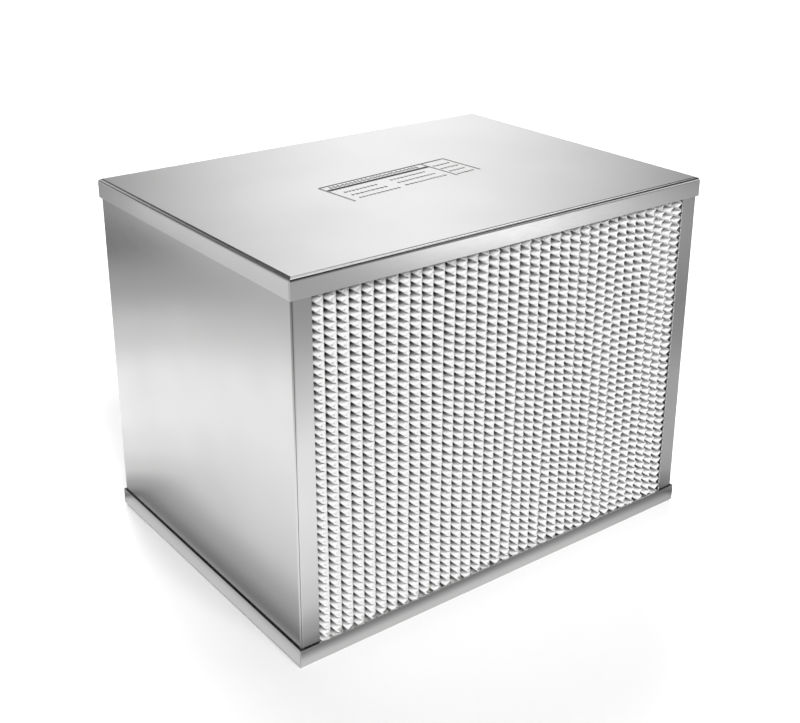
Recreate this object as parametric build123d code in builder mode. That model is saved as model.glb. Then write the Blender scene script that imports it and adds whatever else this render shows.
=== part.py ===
"""A box-type air filter: a folded sheet-metal casing round a deep-pleated media pack.

The origin is the middle of the underside. +Z is up, X runs across the width and Y runs
with the air, from the open front at -Y to the gasketed back at +Y. Sizes are in millimetres.
"""

from build123d import *
import os

# Casing
casing_width = 400.0
casing_depth = 292.0
casing_height = 305.0
sheet = 1.0  # thickness of the casing's sheet metal
lip_height = 16.0  # the covers' folded lips
flange_width = 16.0  # the side plates' folded flanges
cover_bend = 2.0  # inside radius of the covers' folds
plate_bend = 1.0  # inside radius of the side plates' folds
plate_clearance = 0.3  # between a side plate and the lip outside it
corner_slit = 0.4  # between two lips at a cover's corner

# Pack of pleated media with corrugated separators
media = 0.4  # thickness of the media sheet
separator_height = 4.7  # height of a corrugation, crest to crest
separator_paper = 0.35  # thickness of the separator sheet, measured across the pack
separator_clearance = 0.07  # between a crest and the media beside it
separator_reach = 5.5  # how far a separator stands out past the folds
pack_setback = 0.5  # from the flanges' inner faces to the separators' ends
corrugation_pitch = 36.0  # a real sheet has about five waves in this length
sealant_depth = 8.0  # sealant poured into each cover
side_sealant_least = 2.5  # sealant between the pack and a side plate

# Gasket on the back face
gasket_width = 10.0
gasket_thickness = 6.0
gasket_edge = 1.5  # from the metal's inner edge to the gasket
gasket_step = 0.2  # between the gasket and a lip's edge

# Casing, worked out
outer_x = casing_width / 2
outer_y = casing_depth / 2
plate_x = outer_x - sheet - plate_clearance
plate_y = outer_y - sheet - plate_clearance
plate_inner_x = plate_x - sheet
plate_inner_y = plate_y - sheet
flange_edge_x = plate_x - flange_width
plate_foot_z = sheet + cover_bend
lip_z = lip_height

# Pack, worked out
wall_pitch = separator_height + 2 * separator_clearance + media
pleat_pitch = 2 * wall_pitch
pleat_count = int((2 * (plate_inner_x - side_sealant_least) - media) // pleat_pitch)
wall_count = 2 * pleat_count + 1
pack_x = (pleat_count * pleat_pitch + media) / 2
pack_y = plate_inner_y - pack_setback
fold_y = pack_y - separator_reach
pack_foot_z = sheet + sealant_depth
pack_height = casing_height - 2 * pack_foot_z
separator_end_y = fold_y - media - separator_clearance
separator_length = pack_y + separator_end_y
wave_count = max(1, round(pack_height / corrugation_pitch))


def wall_x(index):
    """Middle of a media wall, counted from the left."""
    return -pack_x + media / 2 + index * wall_pitch


def gap_x(index):
    """Middle of the gap to the right of a media wall."""
    return wall_x(index) + wall_pitch / 2


def corrugated_outline():
    """Closed outline of a corrugated sheet, zigzagging up from the sealant about X = 0."""
    swing = (separator_height - separator_paper) / 2
    half_wave = pack_height / (2 * wave_count)
    crests = [
        (swing if index % 2 else -swing, pack_foot_z + index * half_wave)
        for index in range(2 * wave_count + 1)
    ]
    left = [(crest_x - separator_paper / 2, z) for crest_x, z in crests]
    right = [(crest_x + separator_paper / 2, z) for crest_x, z in reversed(crests)]
    return left + right


def write(part, name):
    """Label one finished piece and write it."""
    part.label = name
    export_step(part, f"parts/{name}.step")


os.makedirs("parts", exist_ok=True)


# Bottom cover, a tray folded from one sheet with open slits at its corners
with BuildPart() as bottom_cover:
    with BuildSketch():
        Rectangle(casing_width, casing_depth)
    extrude(amount=lip_height)
    fillet(bottom_cover.faces().sort_by(Axis.Z)[0].edges(), cover_bend + sheet)
    offset(amount=-sheet, openings=bottom_cover.faces().sort_by(Axis.Z)[-1])
    slit_x = outer_x - sheet / 2
    slit_y = outer_y - sheet - corner_slit / 2
    with BuildSketch(Plane.XY.offset(plate_foot_z)):
        with GridLocations(2 * slit_x, 2 * slit_y, 2, 2):
            Rectangle(sheet, corner_slit)
    extrude(amount=lip_height, mode=Mode.SUBTRACT)
write(bottom_cover.part, "bottom_cover")

# Top cover, the same tray turned over
with BuildPart() as top_cover:
    mirror(bottom_cover.part, about=Plane.XY.offset(casing_height / 2))
write(top_cover.part, "top_cover")

# Left side plate, a channel whose flanges frame the pack
with BuildPart() as left_side_plate:
    with BuildSketch(Plane.XY.offset(plate_foot_z)):
        with BuildLine() as plate_line:
            Polyline(
                (-flange_edge_x, -plate_y),
                (-plate_x, -plate_y),
                (-plate_x, plate_y),
                (-flange_edge_x, plate_y),
            )
            fillet(plate_line.vertices().group_by(Axis.X)[0], plate_bend + sheet)
            offset(amount=sheet, side=Side.RIGHT)
        make_face()
    extrude(amount=casing_height - 2 * plate_foot_z)
write(left_side_plate.part, "left_side_plate")

with BuildPart() as right_side_plate:
    mirror(left_side_plate.part, about=Plane.YZ)
write(right_side_plate.part, "right_side_plate")

# Sealant, a slab poured into each cover that the pack stands in
with BuildPart() as bottom_sealant:
    with BuildSketch(Plane.XY.offset(sheet)):
        Rectangle(2 * (outer_x - sheet - cover_bend), 2 * (outer_y - sheet - cover_bend))
    extrude(amount=sealant_depth)
write(bottom_sealant.part, "bottom_sealant")

with BuildPart() as top_sealant:
    mirror(bottom_sealant.part, about=Plane.XY.offset(casing_height / 2))
write(top_sealant.part, "top_sealant")

# Side sealant, between the pack's last walls and the side plates
with BuildPart() as left_sealant:
    with BuildSketch(Plane.XY.offset(pack_foot_z)):
        with Locations((-(pack_x + plate_inner_x) / 2, 0)):
            Rectangle(plate_inner_x - pack_x, 2 * fold_y)
    extrude(amount=pack_height)
write(left_sealant.part, "left_sealant")

with BuildPart() as right_sealant:
    mirror(left_sealant.part, about=Plane.YZ)
write(right_sealant.part, "right_sealant")

# Media, one sheet folded to and fro round the separators' ends
fold_line_y = fold_y - media / 2
wall_length = 2 * fold_y
with BuildPart() as media_pack:
    with BuildSketch(Plane.XY.offset(pack_foot_z)):
        with Locations(*[(wall_x(index), 0) for index in range(wall_count)]):
            Rectangle(media, wall_length)
        with Locations(*[(gap_x(index), -fold_line_y) for index in range(0, wall_count - 1, 2)]):
            Rectangle(wall_pitch + media, media)
        with Locations(*[(gap_x(index), fold_line_y) for index in range(1, wall_count - 1, 2)]):
            Rectangle(wall_pitch + media, media)
    extrude(amount=pack_height)
write(media_pack.part, "media_pack")

# Section of a corrugated separator seen from the front
with BuildSketch() as corrugation:
    with BuildLine():
        Polyline(*corrugated_outline(), close=True)
    make_face()

# Front separators, open to the front and stopped by the rear folds
for number in range(1, pleat_count + 1):
    with BuildPart() as front_separator:
        with BuildSketch(Plane.XZ.offset(-separator_end_y)):
            with Locations((gap_x(2 * number - 1), 0)):
                add(corrugation.sketch)
        extrude(amount=separator_length)
    write(front_separator.part, f"front_separator_{number:02d}")

# Rear separators, open to the back and stopped by the front folds
with BuildPart() as rear_separators:
    with BuildSketch(Plane.XZ.offset(-pack_y)):
        with Locations(*[(gap_x(2 * number), 0) for number in range(pleat_count)]):
            add(corrugation.sketch)
    extrude(amount=separator_length)
write(rear_separators.part, "rear_separators")

# Gasket, four sponge strips on the back face
seal_y = outer_y + gasket_thickness
gasket_foot_z = lip_z - gasket_edge - gasket_width
gasket_inner_x = flange_edge_x + gasket_edge
gasket_outer_x = gasket_inner_x + gasket_width
with BuildPart() as gasket_bottom:
    with BuildSketch(Plane.XZ.offset(-seal_y)):
        with Locations((0, gasket_foot_z + gasket_width / 2)):
            Rectangle(2 * gasket_outer_x, gasket_width)
    extrude(amount=gasket_thickness)
write(gasket_bottom.part, "gasket_bottom")

with BuildPart() as gasket_top:
    mirror(gasket_bottom.part, about=Plane.XY.offset(casing_height / 2))
write(gasket_top.part, "gasket_top")

# The side strips lie on the flanges and step over the covers' lips
with BuildPart() as gasket_left:
    with BuildSketch(Plane.YZ.offset(-gasket_outer_x)):
        with Locations(((outer_y + seal_y) / 2, casing_height / 2)):
            Rectangle(gasket_thickness, casing_height - 2 * (lip_z - gasket_edge))
        with Locations(((plate_y + seal_y) / 2, casing_height / 2)):
            Rectangle(seal_y - plate_y, casing_height - 2 * (lip_z + gasket_step))
    extrude(amount=gasket_width)
write(gasket_left.part, "gasket_left")

with BuildPart() as gasket_right:
    mirror(gasket_left.part, about=Plane.YZ)
write(gasket_right.part, "gasket_right")
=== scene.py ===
"""Dresses a box-type deep-pleat air filter: satin steel casing, white corrugated pack, studio.

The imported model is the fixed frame, in metres: +Z up, X across the width, the open front at -Y.
The casing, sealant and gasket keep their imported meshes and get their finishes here. The media
and the corrugated separators are made here at their true fold and corrugation pitch.
"""

import logging
import math
import random
from collections.abc import Iterable
from dataclasses import dataclass, field
from enum import Enum

import bmesh
import bpy
from mathutils import Matrix, Vector


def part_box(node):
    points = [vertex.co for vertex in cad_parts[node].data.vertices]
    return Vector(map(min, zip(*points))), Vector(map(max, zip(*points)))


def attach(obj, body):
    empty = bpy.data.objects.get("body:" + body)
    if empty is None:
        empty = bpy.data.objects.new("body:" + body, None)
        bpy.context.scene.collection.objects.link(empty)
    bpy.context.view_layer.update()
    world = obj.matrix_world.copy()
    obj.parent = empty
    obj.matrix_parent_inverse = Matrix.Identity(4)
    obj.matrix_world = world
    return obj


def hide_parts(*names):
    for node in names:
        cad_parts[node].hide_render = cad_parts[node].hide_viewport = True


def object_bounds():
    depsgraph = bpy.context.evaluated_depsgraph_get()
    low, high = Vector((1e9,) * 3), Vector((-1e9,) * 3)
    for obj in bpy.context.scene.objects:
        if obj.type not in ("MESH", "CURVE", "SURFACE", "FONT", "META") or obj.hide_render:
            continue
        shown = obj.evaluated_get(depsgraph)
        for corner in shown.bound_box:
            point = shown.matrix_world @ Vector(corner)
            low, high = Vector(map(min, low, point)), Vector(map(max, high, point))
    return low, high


LOG = logging.getLogger("filter")
MM = 0.001
PHOTO_WIDTH = 800
SAME_POINT = 1e-7  # metres; points closer than this are merged
GRAIN_STRETCH = 24.0  # a brushed line is this many times as long as it is wide
RAMP_TOP = 2.0  # a ramp holds no more than 1, so its levels are divided by this and raised after
FIRST_TURN = "first_turn"  # the attribute that keeps where each sheet's waves start
MATH = "ShaderNodeMath"
VECTOR_MATH = "ShaderNodeVectorMath"

Point = tuple[float, float, float]
Stops = tuple[tuple[float, float], ...]  # position and level of each stop
Bar = tuple[float, float, float, float]  # left, bottom, width and height

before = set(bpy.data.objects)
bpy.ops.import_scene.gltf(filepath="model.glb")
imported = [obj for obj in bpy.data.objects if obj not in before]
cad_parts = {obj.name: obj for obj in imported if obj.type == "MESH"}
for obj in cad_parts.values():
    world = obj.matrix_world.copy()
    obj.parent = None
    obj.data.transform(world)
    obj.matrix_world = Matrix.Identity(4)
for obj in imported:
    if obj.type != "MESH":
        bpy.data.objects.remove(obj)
CAD_BOX = [list(corner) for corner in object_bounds()]


class Grain(Enum):
    """The way a sheet was brushed, as the stretch of the pattern along X, Y and Z."""

    ALONG_WIDTH = (1.0, GRAIN_STRETCH, GRAIN_STRETCH)
    ALONG_DEPTH = (GRAIN_STRETCH, 1.0, GRAIN_STRETCH)


class Side(Enum):
    """The face of the pack that a set of separators opens to."""

    FRONT = "front"
    REAR = "rear"


def linear(code: str) -> tuple[float, float, float, float]:
    """Turn an sRGB hex colour into a linear colour.

    Args:
        code: Six hex digits after a hash.

    Returns:
        Red, green, blue and alpha, linear.
    """
    parts = [int(code[i : i + 2], 16) / 255 for i in (1, 3, 5)]
    curve = [c / 12.92 if c <= 0.04045 else ((c + 0.055) / 1.055) ** 2.4 for c in parts]
    return (*curve, 1.0)


def in_use(sockets: Iterable[bpy.types.NodeSocket], name: str | int = 0) -> bpy.types.NodeSocket:
    """Find a socket among those that the node's settings leave in use.

    Args:
        sockets: The node's inputs or outputs.
        name: The socket's name, or its place among those in use.

    Returns:
        The socket.
    """
    usable = [socket for socket in sockets if socket.enabled]
    if isinstance(name, int):
        return usable[name]
    return next(socket for socket in usable if socket.name == name)


def set_inputs(tree: bpy.types.NodeTree, node: bpy.types.Node, inputs: dict | tuple) -> None:
    """Set or link a node's inputs.

    Args:
        tree: The node's tree.
        node: The node.
        inputs: Input name to a value, a hex colour or an output that is linked to it, or those
            values alone in the inputs' order.
    """
    pairs = enumerate(inputs) if isinstance(inputs, tuple) else inputs.items()
    for name, value in pairs:
        socket = in_use(node.inputs, name)
        if isinstance(value, bpy.types.NodeSocket):
            tree.links.new(value, socket)
        elif isinstance(value, str) and value.startswith("#"):
            socket.default_value = linear(value)
        else:
            socket.default_value = value


def add_node(
    tree: bpy.types.NodeTree, kind: str, inputs: dict | tuple = (), **settings: object
) -> bpy.types.Node:
    """Add a node with its settings and links.

    Args:
        tree: The tree that takes the node.
        kind: The node's type name.
        inputs: What its inputs get, as set_inputs takes it.
        settings: Properties of the node itself.

    Returns:
        The new node.
    """
    node = tree.nodes.new(kind)
    for name, value in settings.items():
        setattr(node, name, value)
    set_inputs(tree, node, inputs)
    return node


def output_of(
    tree: bpy.types.NodeTree, kind: str, inputs: dict | tuple = (), **settings: object
) -> bpy.types.NodeSocket:
    """Add a node, as add_node does, where only its first output is wanted.

    Args:
        tree: The tree that takes the node.
        kind: The node's type name.
        inputs: What its inputs get, as set_inputs takes it.
        settings: Properties of the node itself.

    Returns:
        The first output in use.
    """
    return in_use(add_node(tree, kind, inputs, **settings).outputs)


def set_stops(node: bpy.types.Node, stops: Stops, top: float) -> bpy.types.NodeSocket:
    """Give a colour ramp eased grey stops.

    Args:
        node: The ramp's node.
        stops: Position and level of each stop.
        top: What the levels are divided by.

    Returns:
        The ramp's level, divided by the top.
    """
    ramp = node.color_ramp
    ramp.interpolation = "EASE"
    while len(ramp.elements) < len(stops):
        ramp.elements.new(0.5)
    for element, (position, level) in zip(ramp.elements, stops):
        element.position = position
        element.color = (level / top, level / top, level / top, 1.0)
    return node.outputs["Color"]


def new_material(name: str) -> tuple[bpy.types.Material, bpy.types.NodeTree, bpy.types.Node]:
    """Start a material with one shader.

    Args:
        name: The finish's plain name.

    Returns:
        The material, its tree and its Principled shader.
    """
    material = bpy.data.materials.new(name)
    material.use_nodes = True
    tree = material.node_tree
    return material, tree, tree.nodes["Principled BSDF"]


def dress(node: str, material: bpy.types.Material) -> None:
    """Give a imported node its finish.

    Args:
        node: The node's name.
        material: The finish.
    """
    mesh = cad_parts[node].data
    mesh.materials.clear()
    mesh.materials.append(material)


def linked_object(name: str, data: bpy.types.ID) -> bpy.types.Object:
    """Make an object and link it to the scene.

    Args:
        name: The object's name.
        data: Its mesh, lamp or camera.

    Returns:
        The object.
    """
    made = bpy.data.objects.new(name, data)
    bpy.context.scene.collection.objects.link(made)
    return made


def object_from_mesh(name: str, mesh: bpy.types.Mesh) -> bpy.types.Object:
    """Link a finished mesh and set what it rides on.

    Args:
        name: The piece's name.
        mesh: Its mesh, in the frame's place.

    Returns:
        The piece.
    """
    piece = linked_object(name, mesh)
    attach(piece, "root")
    LOG.info("%s: %d faces", name, len(mesh.polygons))
    return piece


def give_thickness(carrier: bpy.types.Object, thickness: float) -> None:
    """Give a sheet its thickness, half to each side.

    Args:
        carrier: The object that carries the sheet.
        thickness: The sheet's thickness, in metres.
    """
    paper = carrier.modifiers.new("paper", "SOLIDIFY")
    paper.thickness = thickness
    paper.offset = 0.0


def evaluated_mesh(carrier: bpy.types.Object, name: str) -> bpy.types.Mesh:
    """Turn an object with live modifiers into a plain mesh and remove the object.

    Args:
        carrier: The object that carries the modifiers.
        name: The new mesh's name.

    Returns:
        The plain mesh.
    """
    bpy.context.view_layer.update()
    graph = bpy.context.evaluated_depsgraph_get()
    mesh = bpy.data.meshes.new_from_object(carrier.evaluated_get(graph), depsgraph=graph)
    mesh.name = name
    old = carrier.data
    bpy.data.objects.remove(carrier)
    bpy.data.meshes.remove(old)
    return mesh


def joint_box(nodes: list[str]) -> tuple[Point, Point]:
    """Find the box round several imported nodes.

    Args:
        nodes: The nodes' names.

    Returns:
        Its lowest and highest corners.
    """
    boxes = [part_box(node) for node in nodes]
    low = tuple(min(box[0][axis] for box in boxes) for axis in range(3))
    high = tuple(max(box[1][axis] for box in boxes) for axis in range(3))
    return low, high


@dataclass(frozen=True)
class SatinSteel:
    """Cold-rolled stainless sheet with a fine brushed satin face.

    The rolling and brushing leave hair-fine lines along the sheet that blur what it mirrors, and
    faint cloudy bands from handling that show as slow changes of gloss.
    """

    grain: Grain
    colour: str = "#d7d6d6"
    cloudy_colour: str = "#c7c6c6"
    roughness_low: float = 0.13
    roughness_high: float = 0.20
    line_spacing_mm: float = 0.5  # real brush lines are about 0.1 mm apart, too fine to show
    cloud_size_mm: float = 110.0
    patterns_low: float = 0.7  # lines and clouds together mostly lie between this
    patterns_high: float = 1.3  # and this
    bump_mm: float = 0.006
    bump_strength: float = 0.25

    def build(self) -> bpy.types.Material:
        """Build the material.

        Returns:
            The satin steel for one brushing direction.
        """
        material, tree, shader = new_material(f"satin_steel_{self.grain.name.lower()}")
        place = add_node(tree, "ShaderNodeTexCoord").outputs["Object"]
        stretched = output_of(
            tree, "ShaderNodeMapping", {"Vector": place, "Scale": self.grain.value}
        )
        line_scale = 1 / (GRAIN_STRETCH * self.line_spacing_mm * MM)
        lines = output_of(
            tree, "ShaderNodeTexNoise", {"Vector": stretched, "Scale": line_scale, "Detail": 3.0}
        )
        cloud_scale = 1 / (self.cloud_size_mm * MM)
        clouds = output_of(
            tree, "ShaderNodeTexNoise", {"Vector": place, "Scale": cloud_scale, "Detail": 2.0}
        )
        roughness = output_of(
            tree,
            "ShaderNodeMapRange",
            {
                "Value": output_of(tree, MATH, (lines, clouds), operation="ADD"),
                "From Min": self.patterns_low,
                "From Max": self.patterns_high,
                "To Min": self.roughness_low,
                "To Max": self.roughness_high,
            },
        )
        tint = output_of(
            tree,
            "ShaderNodeMix",
            {"Factor": clouds, "A": self.colour, "B": self.cloudy_colour},
            data_type="RGBA",
        )
        bump = output_of(
            tree,
            "ShaderNodeBump",
            {"Height": lines, "Strength": self.bump_strength, "Distance": self.bump_mm * MM},
        )
        set_inputs(
            tree,
            shader,
            {"Metallic": 1.0, "Base Color": tint, "Roughness": roughness, "Normal": bump},
        )
        return material


@dataclass(frozen=True)
class FilterPaper:
    """White wood-pulp or glass-fibre paper, matte, with a slightly felted face, and painted shade that
    darkens it deeper into the channels.

    Args:
        name: The finish's name.
        colour: The paper's colour.
        shaded_colour: Its colour between the fibres.
        open_end: Distance of the pack's open ends from its middle, in metres.
    """

    name: str
    colour: str
    shaded_colour: str
    open_end: float
    fibre_mm: float = 0.8
    roughness: float = 0.95
    specular: float = 0.2
    bump_mm: float = 0.05
    bump_strength: float = 0.3
    painted_shade_colour: str = "#5c5c5c"  # painted shade: the channels are painted darker than the lamps here leave them
    painted_shade_full_mm: float = 11.0  # the painted shade is full this far in from an open end
    painted_shade_start_mm: float = 5.5  # and starts this far in

    def build(self) -> bpy.types.Material:
        """Build the material.

        Returns:
            The paper.
        """
        material, tree, shader = new_material(self.name)
        place = add_node(tree, "ShaderNodeTexCoord").outputs["Object"]
        felt = output_of(
            tree,
            "ShaderNodeTexNoise",
            {"Vector": place, "Scale": 1 / (self.fibre_mm * MM), "Detail": 4.0},
        )
        bump = output_of(
            tree,
            "ShaderNodeBump",
            {"Height": felt, "Strength": self.bump_strength, "Distance": self.bump_mm * MM},
        )
        along = add_node(tree, "ShaderNodeSeparateXYZ", {"Vector": place}).outputs["Y"]
        # painted shade: how far it has faded, none near an open end and full deep in
        painted_shade_fade = output_of(
            tree,
            "ShaderNodeMapRange",
            {
                "Value": output_of(tree, MATH, (along,), operation="ABSOLUTE"),
                "From Min": self.open_end - self.painted_shade_full_mm * MM,
                "From Max": self.open_end - self.painted_shade_start_mm * MM,
            },
        )
        felted = output_of(
            tree,
            "ShaderNodeMix",
            {"Factor": felt, "A": self.colour, "B": self.shaded_colour},
            data_type="RGBA",
        )
        # painted shade: the felted colour goes to the dark colour deeper into the channels
        tint = output_of(
            tree,
            "ShaderNodeMix",
            {"Factor": painted_shade_fade, "A": self.painted_shade_colour, "B": felted},
            data_type="RGBA",
        )
        set_inputs(
            tree,
            shader,
            {
                "Base Color": tint,
                "Roughness": self.roughness,
                "Specular IOR Level": self.specular,
                "Normal": bump,
            },
        )
        return material


@dataclass(frozen=True)
class CastResin:
    """Two-part polyurethane sealant, poured and cured off-white with a soft gloss."""

    colour: str = "#e8e7e2"
    flow_colour: str = "#dedcd5"
    flow_mm: float = 30.0
    roughness: float = 0.4

    def build(self) -> bpy.types.Material:
        """Build the material.

        Returns:
            The sealant.
        """
        material, tree, shader = new_material("cast_resin")
        place = add_node(tree, "ShaderNodeTexCoord").outputs["Object"]
        flow = output_of(
            tree,
            "ShaderNodeTexNoise",
            {"Vector": place, "Scale": 1 / (self.flow_mm * MM), "Detail": 2.0},
        )
        tint = output_of(
            tree,
            "ShaderNodeMix",
            {"Factor": flow, "A": self.colour, "B": self.flow_colour},
            data_type="RGBA",
        )
        set_inputs(tree, shader, {"Base Color": tint, "Roughness": self.roughness})
        return material


@dataclass(frozen=True)
class SpongeRubber:
    """Closed-cell neoprene sponge, matte black with fine open pores on its cut faces."""

    colour: str = "#1c1c1d"
    pore_colour: str = "#0e0e0f"
    pore_mm: float = 0.9
    roughness: float = 0.9
    bump_mm: float = 0.2
    bump_strength: float = 0.5

    def build(self) -> bpy.types.Material:
        """Build the material.

        Returns:
            The sponge.
        """
        material, tree, shader = new_material("sponge_rubber")
        place = add_node(tree, "ShaderNodeTexCoord").outputs["Object"]
        pores = output_of(
            tree, "ShaderNodeTexVoronoi", {"Vector": place, "Scale": 1 / (self.pore_mm * MM)}
        )
        tint = output_of(
            tree,
            "ShaderNodeMix",
            {"Factor": pores, "A": self.pore_colour, "B": self.colour},
            data_type="RGBA",
        )
        bump = output_of(
            tree,
            "ShaderNodeBump",
            {"Height": pores, "Strength": self.bump_strength, "Distance": self.bump_mm * MM},
        )
        set_inputs(
            tree, shader, {"Base Color": tint, "Roughness": self.roughness, "Normal": bump}
        )
        return material


class Tree:
    """A Geometry Nodes tree with named inputs, which ends in real, dressed geometry."""

    def __init__(self, name: str) -> None:
        """Start a tree with a geometry input and output.

        Args:
            name: The tree's name.
        """
        self.group = bpy.data.node_groups.new(name, "GeometryNodeTree")
        for way in ("INPUT", "OUTPUT"):
            self.group.interface.new_socket(
                "Geometry", in_out=way, socket_type="NodeSocketGeometry"
            )
        self.values: dict[str, float | int | bpy.types.Material] = {}
        self.entry = self.group.nodes.new("NodeGroupInput")
        self.exit = self.group.nodes.new("NodeGroupOutput")

    def input(self, name: str, value: float | int | bpy.types.Material) -> bpy.types.NodeSocket:
        """Add a named input.

        Args:
            name: The input's name.
            value: What this modifier sets it to.

        Returns:
            The input's socket inside the tree.
        """
        kinds = {int: "NodeSocketInt", float: "NodeSocketFloat"}
        kind = kinds.get(type(value), "NodeSocketMaterial")
        self.group.interface.new_socket(name, in_out="INPUT", socket_type=kind)
        self.values[name] = value
        return self.entry.outputs[name]

    def finish(self, geometry: bpy.types.NodeSocket, material: bpy.types.NodeSocket) -> None:
        """Realize instances, set the material and close the tree.

        Args:
            geometry: The last geometry.
            material: The material's socket.
        """
        real = output_of(self.group, "GeometryNodeRealizeInstances", {"Geometry": geometry})
        dressed = output_of(
            self.group, "GeometryNodeSetMaterial", {"Geometry": real, "Material": material}
        )
        self.group.links.new(dressed, self.exit.inputs["Geometry"])

    def put_on(self, carrier: bpy.types.Object) -> None:
        """Put the tree on an object, with each input set by its identifier.

        Args:
            carrier: The object.
        """
        modifier = carrier.modifiers.new(self.group.name, "NODES")
        modifier.node_group = self.group
        for item in self.group.interface.items_tree:
            if item.in_out == "INPUT" and item.name in self.values:
                modifier[item.identifier] = self.values[item.name]


@dataclass(frozen=True)
class Settling:
    """How far the hand-packed sheets wander from their true places, in millimetres.

    Args:
        across: How far a fold leans to the left or right.
        across_span: The distance over which that lean changes.
        upright: How far the waves creep up or down.
        upright_span: The distance over which that creep changes.
        first_layer: The noise layer of the lean.
        layer_step: From there to the layer of the creep.
    """

    across: float = 0.9
    across_span: float = 85.0
    upright: float = 1.3
    upright_span: float = 45.0
    first_layer: float = 3.0
    layer_step: float = 7.0

    def offset(self, tree: bpy.types.NodeTree) -> bpy.types.NodeSocket:
        """Add nodes for the wander of a point, the same for the media and the separators.

        Args:
            tree: The tree that moves its points.

        Returns:
            The offset.
        """
        place = output_of(tree, "GeometryNodeInputPosition")
        axes = add_node(tree, "ShaderNodeSeparateXYZ", {"Vector": place}).outputs
        face = output_of(tree, "ShaderNodeCombineXYZ", {"X": axes["X"], "Z": axes["Z"]})
        wander = ((self.across, self.across_span), (self.upright, self.upright_span))
        moves = []
        for layer, (reach, span) in enumerate(wander):
            noise = output_of(
                tree,
                "ShaderNodeTexNoise",
                {
                    "Vector": face,
                    "W": self.first_layer + self.layer_step * layer,
                    "Scale": 1 / (span * MM),
                    "Detail": 1.0,
                },
                noise_dimensions="4D",
            )
            centred = output_of(tree, MATH, (noise, 0.5), operation="SUBTRACT")
            moves.append(output_of(tree, MATH, (centred, 2 * reach * MM), operation="MULTIPLY"))
        return output_of(tree, "ShaderNodeCombineXYZ", {"X": moves[0], "Z": moves[1]})


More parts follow.
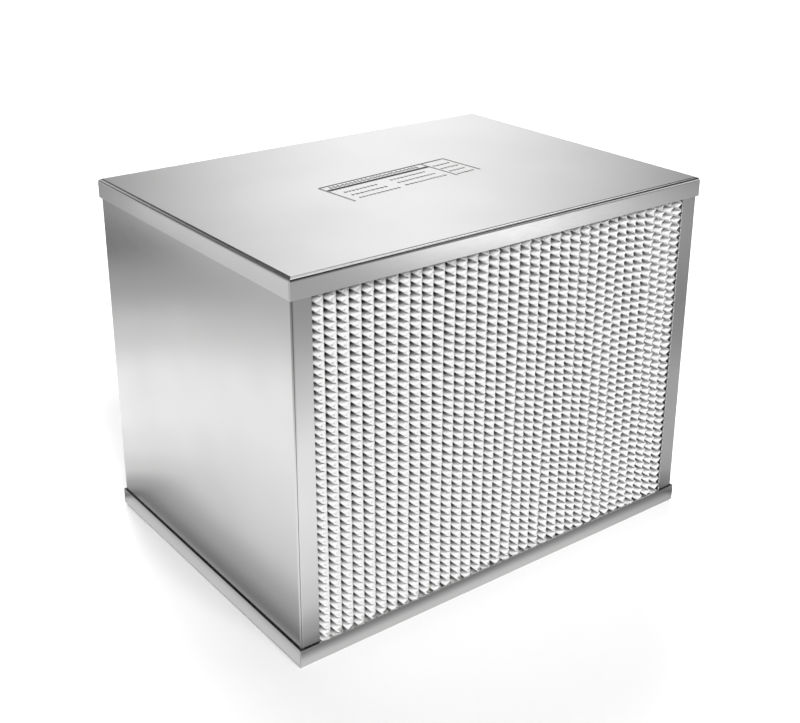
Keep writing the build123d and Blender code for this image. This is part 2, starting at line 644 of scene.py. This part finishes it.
@dataclass
class CorrugatedSeparators:
    """One set of corrugated sheets that hold the pleats apart.

    Args:
        side: The face of the pack that they open to.
        finish: Their paper.
        nodes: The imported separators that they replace.
        first_x: Middle of the leftmost sheet.
        pitch: From sheet to sheet.
        count: How many sheets there are.
        sheet_height: From crest to crest across a sheet, over its faces.
        seed: Seed of the heights at which the sheets' waves start.
        wave_mm: Corrugation pitch.
        wave_steps: Points along one wave.
        paper_mm: Thickness of the paper.
        pointed_share: Share of a third harmonic, which straightens the flanks as in folded paper.
        settling: How far the sheets wander.
    """

    side: Side
    finish: bpy.types.Material
    nodes: list[str]
    first_x: float
    pitch: float
    count: int
    sheet_height: float
    seed: int
    wave_mm: float = 6.6
    wave_steps: int = 10
    paper_mm: float = 0.30
    pointed_share: float = 0.075
    settling: Settling = Settling()

    def flat_sheets(self, tree: Tree) -> bpy.types.NodeSocket:
        """Stand a flat sheet in each pleat and mark it with where its waves start.

        Args:
            tree: The tree.

        Returns:
            The flat sheets.
        """
        group = tree.group
        low, high = joint_box(self.nodes)
        height = high[2] - low[2]
        rows = round(height / (self.wave_mm * MM) * self.wave_steps) + 1
        lying = output_of(
            group,
            "GeometryNodeMeshGrid",
            {
                "Size X": tree.input("Sheet length", high[1] - low[1]),
                "Size Y": tree.input("Pack height", height),
                "Vertices X": 2,
                "Vertices Y": rows,
            },
        )
        place = output_of(group, "GeometryNodeInputPosition")
        flat = add_node(group, "ShaderNodeSeparateXYZ", {"Vector": place}).outputs
        upright = output_of(group, "ShaderNodeCombineXYZ", {"Y": flat["X"], "Z": flat["Y"]})
        sheet = output_of(
            group, "GeometryNodeSetPosition", {"Geometry": lying, "Position": upright}
        )
        pitch = tree.input("Pleat pitch", self.pitch)
        pleats = output_of(
            group,
            "GeometryNodeMeshLine",
            {
                "Count": tree.input("Sheets", self.count),
                "Start Location": (self.first_x, (low[1] + high[1]) / 2, (low[2] + high[2]) / 2),
                "Offset": output_of(group, "ShaderNodeCombineXYZ", {"X": pitch}),
            },
        )
        start = output_of(
            group,
            "FunctionNodeRandomValue",
            {
                "Min": (0.0, 0.0, 0.0),
                "Max": (2 * math.pi, 0.0, 0.0),
                "Seed": tree.input("Seed", self.seed),
            },
            data_type="FLOAT_VECTOR",
        )
        marked = output_of(
            group,
            "GeometryNodeStoreNamedAttribute",
            {"Geometry": pleats, "Name": FIRST_TURN, "Value": start},
            data_type="FLOAT_VECTOR",
        )
        copies = output_of(
            group, "GeometryNodeInstanceOnPoints", {"Points": marked, "Instance": sheet}
        )
        return output_of(group, "GeometryNodeRealizeInstances", {"Geometry": copies})

    def waved(self, tree: Tree, sheets: bpy.types.NodeSocket) -> bpy.types.NodeSocket:
        """Bend flat sheets into waves.

        Args:
            tree: The tree.
            sheets: The flat sheets.

        Returns:
            The waved sheets.
        """
        group = tree.group
        place = output_of(group, "GeometryNodeInputPosition")
        up = add_node(group, "ShaderNodeSeparateXYZ", {"Vector": place}).outputs["Z"]
        mark = output_of(
            group,
            "GeometryNodeInputNamedAttribute",
            {"Name": FIRST_TURN},
            data_type="FLOAT_VECTOR",
        )
        start = add_node(group, "ShaderNodeSeparateXYZ", {"Vector": mark}).outputs["X"]
        wave = tree.input("Corrugation pitch", self.wave_mm * MM)
        turns = output_of(group, MATH, (up, wave), operation="DIVIDE")
        angle = output_of(group, MATH, (turns, 2 * math.pi, start), operation="MULTIPLY_ADD")
        plain = output_of(group, MATH, (angle,), operation="SINE")
        tripled = output_of(group, MATH, (angle, 3.0), operation="MULTIPLY")
        third = output_of(group, MATH, (tripled,), operation="SINE")
        shape = output_of(
            group, MATH, (third, -self.pointed_share, plain), operation="MULTIPLY_ADD"
        )
        level = output_of(group, MATH, (shape, 1 + self.pointed_share), operation="DIVIDE")
        swing = tree.input("Corrugation swing", self.sheet_height / 2 - self.paper_mm * MM / 2)
        across = output_of(group, MATH, (level, swing), operation="MULTIPLY")
        offset = output_of(group, "ShaderNodeCombineXYZ", {"X": across})
        return output_of(
            group, "GeometryNodeSetPosition", {"Geometry": sheets, "Offset": offset}
        )

    def build(self) -> None:
        """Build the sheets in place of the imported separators."""
        tree = Tree(f"corrugated_sheets_{self.side.value}")
        waved = self.waved(tree, self.flat_sheets(tree))
        settled = output_of(
            tree.group,
            "GeometryNodeSetPosition",
            {"Geometry": waved, "Offset": self.settling.offset(tree.group)},
        )
        smooth = output_of(tree.group, "GeometryNodeSetShadeSmooth", {"Geometry": settled})
        tree.finish(smooth, tree.input("Paper", self.finish))
        carrier = linked_object("carrier", bpy.data.meshes.new("carrier"))
        tree.put_on(carrier)
        give_thickness(carrier, self.paper_mm * MM)
        name = f"{self.side.value}_corrugated_sheets"
        piece = object_from_mesh(name, evaluated_mesh(carrier, name))
        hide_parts(*self.nodes)


@dataclass
class FoldedMedia:
    """The continuous sheet of glass-fibre paper, folded round the separators' ends.

    Args:
        finish: The media's paper.
        wall_count: How many walls the sheet has from left to right.
        thickness_mm: Thickness of the sheet.
        arc_steps: Straight runs round one fold.
        rows: Straight runs up the sheet's height.
        settling: How far the folds wander.
    """

    finish: bpy.types.Material
    wall_count: int
    thickness_mm: float = 0.4
    arc_steps: int = 5
    rows: int = 40
    settling: Settling = Settling()

    def folds(self, low: Vector, high: Vector) -> list[tuple[float, float]]:
        """Lay out the sheet's way to and fro, seen from above.

        Args:
            low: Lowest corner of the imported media.
            high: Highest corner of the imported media.

        Returns:
            X and Y of each point along the sheet's middle.
        """
        half = self.thickness_mm * MM / 2
        wall_pitch = (high.x - low.x - 2 * half) / (self.wall_count - 1)
        radius = wall_pitch / 2
        front = low.y + half
        back = high.y - half
        path: list[tuple[float, float]] = []
        for wall in range(self.wall_count):
            x = low.x + half + wall * wall_pitch
            opens_rear = wall % 2 == 0
            start = back - radius if opens_rear else front + radius
            path.append((x, start if wall else back))
            if wall == self.wall_count - 1:
                path.append((x, front))
                break
            centre_y = front + radius if opens_rear else back - radius
            way = -1 if opens_rear else 1
            for step in range(self.arc_steps + 1):
                angle = math.pi * step / self.arc_steps
                path.append(
                    (x + radius - radius * math.cos(angle), centre_y + way * radius * math.sin(angle))
                )
        return path

    def build(self) -> None:
        """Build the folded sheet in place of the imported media."""
        low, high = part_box("media_pack")
        path = self.folds(low, high)
        form = bmesh.new()
        grid = []
        for row in range(self.rows + 1):
            z = low.z + (high.z - low.z) * row / self.rows
            grid.append([form.verts.new((x, y, z)) for x, y in path])
        for below, above in zip(grid, grid[1:]):
            for k in range(len(path) - 1):
                face = form.faces.new((below[k], below[k + 1], above[k + 1], above[k]))
                face.smooth = True
        bmesh.ops.remove_doubles(form, verts=form.verts, dist=SAME_POINT)
        name = "folded_media"
        mesh = bpy.data.meshes.new(name)
        form.to_mesh(mesh)
        form.free()
        carrier = linked_object("carrier", mesh)
        tree = Tree("settled_media")
        settled = output_of(
            tree.group,
            "GeometryNodeSetPosition",
            {
                "Geometry": tree.entry.outputs["Geometry"],
                "Offset": self.settling.offset(tree.group),
            },
        )
        tree.finish(settled, tree.input("Paper", self.finish))
        tree.put_on(carrier)
        give_thickness(carrier, self.thickness_mm * MM)
        piece = object_from_mesh(name, evaluated_mesh(carrier, name))
        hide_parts("media_pack")


@dataclass
class Pack:
    """Pleated media with its front and rear separators.

    Args:
        front_nodes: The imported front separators, one for each pleat.
        rear_node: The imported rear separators.
        front_seed: Seed of the front sheets.
        rear_seed: Seed of the rear sheets.
    """

    front_nodes: list[str] = field(
        default_factory=lambda: sorted(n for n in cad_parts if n.startswith("front_separator_"))
    )
    rear_node: str = "rear_separators"
    front_seed: int = 5
    rear_seed: int = 8

    def build(self) -> None:
        """Build the media and both sets of separators."""
        boxes = [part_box(node) for node in self.front_nodes]
        centres = sorted((low.x + high.x) / 2 for low, high in boxes)
        count = len(centres)
        pitch = (centres[-1] - centres[0]) / (count - 1)
        sheet_height = boxes[0][1].x - boxes[0][0].x
        open_end = -boxes[0][0].y
        paper = FilterPaper("separator_paper", "#e6e6e6", "#dcdcdc", open_end).build()
        media = FilterPaper(
            "glass_fibre_media", "#e8e8e7", "#dededd", open_end, fibre_mm=1.4
        ).build()
        FoldedMedia(media, 2 * count + 1).build()
        for side, nodes, first_x, seed in (
            (Side.FRONT, self.front_nodes, centres[0], self.front_seed),
            (Side.REAR, [self.rear_node], centres[0] - pitch / 2, self.rear_seed),
        ):
            CorrugatedSeparators(
                side, paper, nodes, first_x, pitch, count, sheet_height, seed
            ).build()


@dataclass(frozen=True)
class Dashes:
    """How tall a row's dashes are and how far apart, in millimetres."""

    tall: float
    gap: float


@dataclass
class RuledMark:
    """A generic ruled panel pressed into the top: a frame, two rules and rows of short dashes.

    Args:
        finish: The cover's steel.
        centre_mm: Its middle, from the middle of the cover.
        size_mm: Its width and height.
        turn_deg: Its turn on the cover.
        line_mm: Width of its rules.
        proud_mm: How far it stands out of the cover.
        sunk_mm: How far its feet stand in the cover.
        slope_share: Width of a bar's flank to its height; about 55 degrees, which mirrors the dark
            above the horizon.
        slope_limit: Most that a flank takes of a bar's narrower side, which leaves a flat.
        head_share: Share of the height over the rules.
        side_share: Share of the width left of the side column.
        seed: Seed of the dashes.
    """

    finish: bpy.types.Material
    centre_mm: tuple[float, float] = (-1.0, -3.0)
    size_mm: tuple[float, float] = (138.0, 46.0)
    turn_deg: float = 5.0
    line_mm: float = 0.9
    proud_mm: float = 0.55
    sunk_mm: float = 0.05
    slope_share: float = 0.7
    slope_limit: float = 0.42
    head_share: float = 0.27
    side_share: float = 0.80
    seed: int = 11
    heading: Dashes = Dashes(3.8, 1.8)
    heading_lift_mm: float = 5.4  # from the lower rule
    heading_inset_mm: float = 8.0
    text: Dashes = Dashes(2.3, 1.7)
    text_inset_mm: float = 9.0
    text_foot_mm: float = 4.0
    text_rows: int = 3
    text_step_mm: float = 9.4
    middle_gaps_mm: tuple[float, float] = (2.0, 4.0)  # from the middle to either column
    ragged_mm: tuple[float, float] = (5.0, 4.0)  # how much each row ends before the one below
    right_lift_mm: float = 2.0  # the right-hand column stands this much higher
    right_inset_mm: float = 5.0
    side_rows: int = 4
    side_inset_mm: float = 4.0
    side_foot_mm: float = 2.0
    side_step_mm: float = 10.0
    dash_mm: tuple[float, float] = (1.4, 3.4)  # shortest and longest dash
    least_dash_mm: float = 1.0  # what is left at a row's end is dropped if it is shorter

    def bars(self) -> list[Bar]:
        """Lay out the bars.

        Returns:
            The bars, about the panel's centre.
        """
        width, height = self.size_mm
        line = self.line_mm
        left, bottom = -width / 2, -height / 2
        rule_y = bottom + height * (1 - self.head_share)
        side_x = left + width * self.side_share
        middle = (left + side_x) / 2
        laid = [
            (left, -bottom - line, width, line),
            (left, bottom, line, height),
            (-left - line, bottom, line, height),
            (left, rule_y, width * self.side_share, line),
            (left, rule_y + 2 * line, width * self.side_share, line),
            (side_x, bottom, line, height),
        ]
        rng = random.Random(self.seed)
        right = side_x - self.right_inset_mm
        heading_y = rule_y + self.heading_lift_mm
        laid += self.row(rng, left + self.heading_inset_mm, right, heading_y, self.heading)
        for number in range(self.text_rows):
            y = bottom + self.text_foot_mm + number * self.text_step_mm
            left_stop = middle - self.middle_gaps_mm[0] - self.ragged_mm[0] * number
            laid += self.row(rng, left + self.text_inset_mm, left_stop, y, self.text)
            right_start = middle + self.middle_gaps_mm[1]
            right_stop = right - self.ragged_mm[1] * number
            laid += self.row(rng, right_start, right_stop, y + self.right_lift_mm, self.text)
        for number in range(self.side_rows):
            y = bottom + self.side_foot_mm + number * self.side_step_mm
            start, stop = side_x + self.side_inset_mm, -left - self.side_inset_mm
            laid += self.row(rng, start, stop, y, self.text)
        return laid

    def row(
        self, rng: random.Random, start: float, stop: float, y: float, dashes: Dashes
    ) -> list[Bar]:
        """Lay one row of short dashes.

        Args:
            rng: Seeded random source.
            start: Left end of the row.
            stop: Right end of the row.
            y: The row's bottom.
            dashes: How tall its dashes are and how far apart.

        Returns:
            The row's bars.
        """
        laid = []
        x = start
        while x < stop:
            width = min(rng.uniform(*self.dash_mm), stop - x)
            if width > self.least_dash_mm:
                laid.append((x, y, width, dashes.tall))
            x += width + dashes.gap
        return laid

    def build(self, top_z: float) -> None:
        """Build the mark on the cover.

        Args:
            top_z: Height of the cover's top face.
        """
        turn = Matrix.Rotation(math.radians(self.turn_deg), 4, "Z")
        move = Matrix.Translation(Vector((*self.centre_mm, 0)) * MM)
        lift = Vector((0, 0, top_z))
        slope = self.proud_mm * self.slope_share
        form = bmesh.new()
        for left, bottom, width, height in self.bars():
            inset_at_top = min(slope, self.slope_limit * min(width, height))
            rings = []
            for z, inset in ((-self.sunk_mm, 0.0), (self.proud_mm, inset_at_top)):
                corners = [
                    (left + inset, bottom + inset),
                    (left + width - inset, bottom + inset),
                    (left + width - inset, bottom + height - inset),
                    (left + inset, bottom + height - inset),
                ]
                rings.append(
                    [form.verts.new(move @ turn @ (Vector((x, y, z)) * MM) + lift) for x, y in corners]
                )
            lower, upper = rings
            form.faces.new(upper)
            form.faces.new(lower[::-1])
            for k in range(4):
                form.faces.new((lower[k], lower[(k + 1) % 4], upper[(k + 1) % 4], upper[k]))
        mesh = bpy.data.meshes.new("ruled_mark")
        form.to_mesh(mesh)
        form.free()
        mesh.materials.append(self.finish)
        object_from_mesh("ruled_mark", mesh)


@dataclass
class Casing:
    """The folded covers and side plates, and the pressed mark on top.

    Args:
        cover_steel: The covers' finish, the plates' steel painted paler as a painted highlight for the
            brighter reflection on the covers' lips.
        plate_steel: The side plates' finish.
    """

    # painted highlight: paler colours than the plates' stand in for the covers' brighter reflection
    cover_steel: SatinSteel = SatinSteel(Grain.ALONG_WIDTH, "#ebeaea", "#e0dfdf")
    plate_steel: SatinSteel = SatinSteel(Grain.ALONG_DEPTH)

    def build(self) -> None:
        """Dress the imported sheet-metal nodes and add the mark."""
        across = self.cover_steel.build()
        along = self.plate_steel.build()
        for node in ("top_cover", "bottom_cover"):
            dress(node, across)
        for node in ("left_side_plate", "right_side_plate"):
            dress(node, along)
        RuledMark(across).build(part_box("top_cover")[1].z)


@dataclass
class Seals:
    """Poured sealant and the sponge gasket."""

    sealant: CastResin = CastResin()
    gasket: SpongeRubber = SpongeRubber()

    def build(self) -> None:
        """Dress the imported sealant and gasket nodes."""
        resin = self.sealant.build()
        sponge = self.gasket.build()
        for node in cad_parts:
            if node.endswith("_sealant"):
                dress(node, resin)
            if node.startswith("gasket_"):
                dress(node, sponge)


@dataclass(frozen=True)
class PaintedGlowCard:
    """A glowing card painted on the floor, cut straight on one side, that a lip of the casing mirrors
    as a painted reflection.

    Args:
        place: Its middle, in metres.
        reach: How far its light fades out.
        glow: Its level.
        axis: The axis that its cut side crosses.
        dark: Where the cut starts, on that axis.
        bright: Where the cut ends.
        past_cut: Share of the light that is left past the cut.
    """

    place: tuple[float, float]
    reach: float
    glow: float
    axis: str
    dark: float
    bright: float
    past_cut: float = 0.0

    def shine(
        self,
        tree: bpy.types.NodeTree,
        place: bpy.types.NodeSocket,
        level: bpy.types.NodeSocket,
    ) -> bpy.types.NodeSocket:
        """Add the card's painted glow to the floor's.

        Args:
            tree: The floor's tree.
            place: The floor's coordinates.
            level: The light so far.

        Returns:
            The light with the card's.
        """
        away = output_of(tree, VECTOR_MATH, (place, (*self.place, 0.0)), operation="DISTANCE")
        lit = output_of(
            tree,
            "ShaderNodeMapRange",
            {"Value": away, "From Max": self.reach, "To Min": self.glow, "To Max": 0.0},
            interpolation_type="SMOOTHSTEP",
        )
        along = add_node(tree, "ShaderNodeSeparateXYZ", {"Vector": place}).outputs[self.axis]
        cut = output_of(
            tree,
            "ShaderNodeMapRange",
            {
                "Value": along,
                "From Min": self.dark,
                "From Max": self.bright,
                "To Min": self.past_cut,
            },
        )
        return output_of(tree, MATH, (lit, cut, level), operation="MULTIPLY_ADD")


@dataclass(frozen=True)
class FarLamp:
    """A wide lamp, so far off that it lights the floor evenly.

    Args:
        name: The lamp's name.
        comes_from: The way to the lamp.
        strength: Its power.
        angle_deg: How wide it looks, which softens its shadows.
        distance: Where it is drawn, in metres; its light is the same from anywhere.
    """

    name: str
    comes_from: Point
    strength: float
    angle_deg: float
    distance: float = 3.0

    def hang(self) -> None:
        """Hang the lamp, unseen in the steel."""
        data = bpy.data.lights.new(self.name, "SUN")
        data.energy = self.strength
        data.angle = math.radians(self.angle_deg)
        lamp = linked_object(self.name, data)
        lamp.visible_glossy = False
        way = Vector(self.comes_from)
        turned = (-way).to_track_quat("-Z", "Y").to_matrix().to_4x4()
        lamp.matrix_world = Matrix.Translation(way * self.distance) @ turned


@dataclass
class Studio:
    """A pale floor, soft lamps and a camera at the photograph's angle."""

    # The camera, fitted to the casing's corners in the photograph
    azimuth_deg: float = 37.164
    elevation_deg: float = 20.683
    roll_rad: float = 0.0026
    eye_mm: Point = (-599.6, -791.0, 588.6)
    focal_px: float = 1252.3
    sensor_mm: float = 36.0
    shift_y: float = -0.1

    # Lamps
    key: FarLamp = FarLamp("key", (-0.12, -0.72, 0.68), 3.65, 34.0)
    fill: FarLamp = FarLamp("rear_fill", (0.35, 0.70, 0.62), 3.6, 40.0)
    panel_place: Point = (0.80, -0.72, 0.20)
    panel_aim: Point = (0.15, -0.15, 0.15)
    panel_size: float = 0.5
    panel_watts: float = 2.8
    ambient: float = 0.13

    # What the steel mirrors of the room, by height and by turn
    sky: Stops = (
        (0.0, 1.0),
        (0.40, 1.0),
        (0.50, 0.08),
        (0.64, 0.08),
        (0.72, 1.9),
        (0.81, 1.9),
        (0.89, 1.0),
        (1.0, 0.9),
    )
    box_azimuth_deg: float = 37.0
    box_count: int = 8
    box_wave: tuple[float, float] = (0.50, 0.58)  # swing and middle of the soft boxes' light
    facing_wave: tuple[float, float] = (0.2, 0.8)  # and of its slow change round the room

    # A black flag, which the front lip's bend mirrors as a line
    flag_azimuth_deg: float = 140.0
    flag_edges: tuple[float, float] = (0.55, 0.85)  # cosines off its middle, at its edge and full
    flag_depth: float = 0.9
    flag_heights: Stops = (
        (0.0, 0.0),
        (0.30, 0.0),
        (0.40, 1.0),
        (0.60, 1.0),
        (0.64, 0.0),
        (1.0, 0.0),
    )

    # The floor, which looks darker to the paper than to the camera, and to the steel glows with a
    # painted reflection: a pool, cards and a wedge painted on it, lit by no lamp
    floor_reach: float = 20.0  # metres to each side
    floor_colour: str = "#f4f4f4"
    floor_bounce_colour: str = "#868686"
    floor_roughness: float = 0.9
    # painted reflection: the floor's glow to glossy rays, by distance from the casing's box
    painted_pool: Stops = (
        (0.00, 0.68),
        (0.010, 0.64),
        (0.015, 0.20),
        (0.032, 0.50),
        (0.068, 0.93),
        (0.11, 1.12),
        (0.18, 1.26),
        (0.27, 1.26),
        (0.40, 0.88),
        (0.56, 0.50),
        (0.75, 0.24),
        (2.00, 0.60),
    )
    painted_pool_fall: tuple[float, float] = (0.05, 0.35)  # X between which the painted pool gets dimmer
    painted_pool_right_share: float = 0.45  # what is left of it on the right
    # painted reflections: glowing cards painted on the floor for the casing's lips to mirror
    painted_cards: tuple[PaintedGlowCard, ...] = (
        PaintedGlowCard((0.60, -0.80), 0.40, 1.15, "Y", -0.755, -0.775, 0.25),
        PaintedGlowCard((0.50, -0.85), 0.80, 0.26, "Y", -0.745, -0.775, 0.20),
        PaintedGlowCard((0.92, -0.70), 0.60, 0.26, "X", 0.45, 0.75),
        PaintedGlowCard((-0.60, 0.79), 0.46, 0.68, "X", -0.574, -0.594),
    )
    painted_wedge_way: tuple[float, float] = (-0.6, -0.8)  # painted shade: a dark wedge in the floor's painted glow, outward from the front left
    painted_wedge_edges: tuple[float, float] = (0.955, 0.99)  # cosines off its middle, at its edge and full
    painted_wedge_level: float = 0.25

    def build(self) -> None:
        """Build the camera, world, floor and lamps."""
        scene = bpy.context.scene
        scene.view_settings.view_transform = "Standard"
        self.camera(scene)
        self.world(scene)
        self.floor()
        self.key.hang()
        self.fill.hang()
        self.side_panel()

    def camera(self, scene: bpy.types.Scene) -> None:
        """Place the camera.

        Args:
            scene: The scene that takes it.
        """
        azimuth = math.radians(self.azimuth_deg)
        elevation = math.radians(self.elevation_deg)
        ahead = Vector(
            (
                math.sin(azimuth) * math.cos(elevation),
                math.cos(azimuth) * math.cos(elevation),
                -math.sin(elevation),
            )
        )
        right = ahead.cross(Vector((0, 0, 1))).normalized()
        up = right.cross(ahead)
        data = bpy.data.cameras.new("camera")
        eye = linked_object("camera", data)
        turned = Matrix((right, up, -ahead)).transposed().to_4x4()
        eye.matrix_world = (
            Matrix.Translation(Vector(self.eye_mm) * MM)
            @ turned
            @ Matrix.Rotation(self.roll_rad, 4, "Z")
        )
        data.sensor_width = self.sensor_mm
        data.lens = self.sensor_mm * self.focal_px / PHOTO_WIDTH
        data.shift_y = self.shift_y
        scene.camera = eye

    def room(self, tree: bpy.types.NodeTree) -> bpy.types.NodeSocket:
        """Set up what the steel mirrors: a ring of soft boxes, dark over the horizon, and the flag.

        Args:
            tree: The world's tree.

        Returns:
            The light from each way.
        """
        way = add_node(tree, "ShaderNodeTexCoord").outputs["Generated"]
        axes = add_node(tree, "ShaderNodeSeparateXYZ", {"Vector": way}).outputs
        azimuth = output_of(tree, MATH, (axes["X"], axes["Y"]), operation="ARCTAN2")
        box_azimuth = math.radians(self.box_azimuth_deg)
        turned = output_of(tree, MATH, (azimuth, box_azimuth), operation="SUBTRACT")
        spread = output_of(tree, MATH, (turned, float(self.box_count)), operation="MULTIPLY")
        wave = output_of(tree, MATH, (spread,), operation="COSINE")
        boxes = output_of(tree, MATH, (wave, *self.box_wave), operation="MULTIPLY_ADD")
        toward = output_of(tree, MATH, (turned,), operation="COSINE")
        facing = output_of(tree, MATH, (toward, *self.facing_wave), operation="MULTIPLY_ADD")
        ring = output_of(tree, MATH, (boxes, facing), operation="MULTIPLY")
        dome = output_of(tree, MATH, (ring, RAMP_TOP), operation="MULTIPLY")
        height_ramp = add_node(tree, "ShaderNodeValToRGB", {"Fac": axes["Z"]})
        height = set_stops(height_ramp, self.sky, RAMP_TOP)
        lit = output_of(tree, MATH, (height, dome), operation="MULTIPLY")
        flag_azimuth = math.radians(self.flag_azimuth_deg)
        off_flag = output_of(tree, MATH, (azimuth, flag_azimuth), operation="SUBTRACT")
        edge, full = self.flag_edges
        flag_side = output_of(
            tree,
            "ShaderNodeMapRange",
            {
                "Value": output_of(tree, MATH, (off_flag,), operation="COSINE"),
                "From Min": edge,
                "From Max": full,
                "To Max": self.flag_depth,
            },
            interpolation_type="SMOOTHSTEP",
        )
        flag_ramp = add_node(tree, "ShaderNodeValToRGB", {"Fac": axes["Z"]})
        flag_height = set_stops(flag_ramp, self.flag_heights, 1.0)
        flag = output_of(tree, MATH, (flag_side, flag_height), operation="MULTIPLY")
        unflagged = output_of(tree, MATH, (1.0, flag), operation="SUBTRACT")
        return output_of(tree, MATH, (lit, unflagged), operation="MULTIPLY")

    def world(self, scene: bpy.types.Scene) -> None:
        """Light the world softly, white where it is seen, the studio room where it is mirrored.

        Args:
            scene: The scene that takes it.
        """
        world = bpy.data.worlds.new("studio")
        world.use_nodes = True
        scene.world = world
        tree = world.node_tree
        room = self.room(tree)
        rays = add_node(tree, "ShaderNodeLightPath").outputs
        seen = output_of(
            tree, MATH, (rays["Is Camera Ray"], rays["Is Transmission Ray"]), operation="MAXIMUM"
        )
        unseen = output_of(tree, MATH, (1.0, seen), operation="SUBTRACT")
        dim = output_of(tree, MATH, (unseen, self.ambient), operation="MULTIPLY")
        soft = output_of(tree, MATH, (seen, dim), operation="ADD")
        more = output_of(tree, MATH, (room, self.ambient), operation="SUBTRACT")
        mirrored = output_of(tree, MATH, (rays["Is Glossy Ray"], more), operation="MULTIPLY")
        strength = output_of(tree, MATH, (soft, mirrored), operation="ADD")
        set_inputs(tree, tree.nodes["Background"], {"Color": "#ffffff", "Strength": strength})

    def painted_pool_light(
        self, tree: bpy.types.NodeTree, place: bpy.types.NodeSocket
    ) -> bpy.types.NodeSocket:
        """Paint a glowing pool round the casing's foot, by the distance from its box, as a painted
        reflection for the steel.

        Args:
            tree: The floor's tree.
            place: The floor's coordinates.

        Returns:
            The painted pool's glow.
        """
        folded = output_of(tree, VECTOR_MATH, (place,), operation="ABSOLUTE")
        corner = (CAD_BOX[1][0], -CAD_BOX[0][1], 0.0)
        outside = output_of(tree, VECTOR_MATH, (folded, corner), operation="SUBTRACT")
        clear = output_of(tree, VECTOR_MATH, (outside, (0.0, 0.0, 0.0)), operation="MAXIMUM")
        away = output_of(tree, VECTOR_MATH, (clear,), operation="LENGTH")
        widest = self.painted_pool[-1][0]
        share = output_of(tree, MATH, (away, widest), operation="DIVIDE")
        rings = tuple((radius / widest, glow) for radius, glow in self.painted_pool)
        ring = set_stops(add_node(tree, "ShaderNodeValToRGB", {"Fac": share}), rings, RAMP_TOP)
        width = add_node(tree, "ShaderNodeSeparateXYZ", {"Vector": place}).outputs["X"]
        start, stop = self.painted_pool_fall
        fall = output_of(
            tree,
            "ShaderNodeMapRange",
            {
                "Value": width,
                "From Min": start,
                "From Max": stop,
                "To Min": RAMP_TOP,
                "To Max": RAMP_TOP * self.painted_pool_right_share,
            },
            interpolation_type="SMOOTHSTEP",
        )
        return output_of(tree, MATH, (ring, fall), operation="MULTIPLY")

    def painted_wedge_share(
        self, tree: bpy.types.NodeTree, place: bpy.types.NodeSocket
    ) -> bpy.types.NodeSocket:
        """Paint the dark wedge of painted shade into the floor's glow, running out from the casing's
        front left corner.

        Args:
            tree: The floor's tree.
            place: The floor's coordinates.

        Returns:
            The share of the light that is left.
        """
        corner = (CAD_BOX[0][0], CAD_BOX[0][1], 0.0)
        outward = output_of(tree, VECTOR_MATH, (place, corner), operation="SUBTRACT")
        way = output_of(tree, VECTOR_MATH, (outward,), operation="NORMALIZE")
        toward = output_of(tree, VECTOR_MATH, (way, (*self.painted_wedge_way, 0.0)), operation="DOT_PRODUCT")
        edge, full = self.painted_wedge_edges
        return output_of(
            tree,
            "ShaderNodeMapRange",
            {
                "Value": toward,
                "From Min": edge,
                "From Max": full,
                "To Min": 1.0,
                "To Max": self.painted_wedge_level,
            },
            interpolation_type="SMOOTHSTEP",
        )

    def floor(self) -> None:
        """Lay a wide pale floor that keeps the object's shadow; to glossy rays it glows with a painted
        pool, cards and wedge, a painted reflection that the steel mirrors.
        """
        mesh = bpy.data.meshes.new("floor")
        form = bmesh.new()
        bmesh.ops.create_grid(form, x_segments=1, y_segments=1, size=self.floor_reach)
        form.to_mesh(mesh)
        form.free()
        floor = linked_object("floor", mesh)
        material, tree, shader = new_material("pale_floor_painted_glow")
        rays = add_node(tree, "ShaderNodeLightPath").outputs
        paint = output_of(
            tree,
            "ShaderNodeMix",
            {
                "Factor": rays["Is Diffuse Ray"],
                "A": self.floor_colour,
                "B": self.floor_bounce_colour,
            },
            data_type="RGBA",
        )
        set_inputs(
            tree,
            shader,
            {"Base Color": paint, "Roughness": self.floor_roughness, "Specular IOR Level": 0.0},
        )
        place = add_node(tree, "ShaderNodeTexCoord").outputs["Object"]
        level = self.painted_pool_light(tree, place)
        for card in self.painted_cards:
            level = card.shine(tree, place, level)
        shade = self.painted_wedge_share(tree, place)
        level = output_of(tree, MATH, (level, shade), operation="MULTIPLY")
        # painted reflection: the floor glows only to glossy rays, with the painted pool, cards and
        # wedge
        glow = output_of(tree, "ShaderNodeEmission", {"Strength": level})
        both = output_of(
            tree, "ShaderNodeMixShader", (rays["Is Glossy Ray"], shader.outputs["BSDF"], glow)
        )
        set_inputs(tree, tree.nodes["Material Output"], {"Surface": both})
        mesh.materials.append(material)

    def side_panel(self) -> None:
        """Stand a small soft panel near the open front's right end."""
        data = bpy.data.lights.new("side_panel", "AREA")
        data.size = self.panel_size
        data.energy = self.panel_watts
        lamp = linked_object("side_panel", data)
        lamp.visible_camera = False
        lamp.visible_glossy = False
        place = Vector(self.panel_place)
        aim = Vector(self.panel_aim) - place
        turned = aim.to_track_quat("-Z", "Y").to_matrix().to_4x4()
        lamp.matrix_world = Matrix.Translation(place) @ turned


def main() -> None:
    """Build every sub-assembly in order."""
    logging.basicConfig(level=logging.INFO, format="%(name)s: %(message)s")
    Casing().build()
    Pack().build()
    Seals().build()
    Studio().build()


if __name__ == "__main__":
    main()
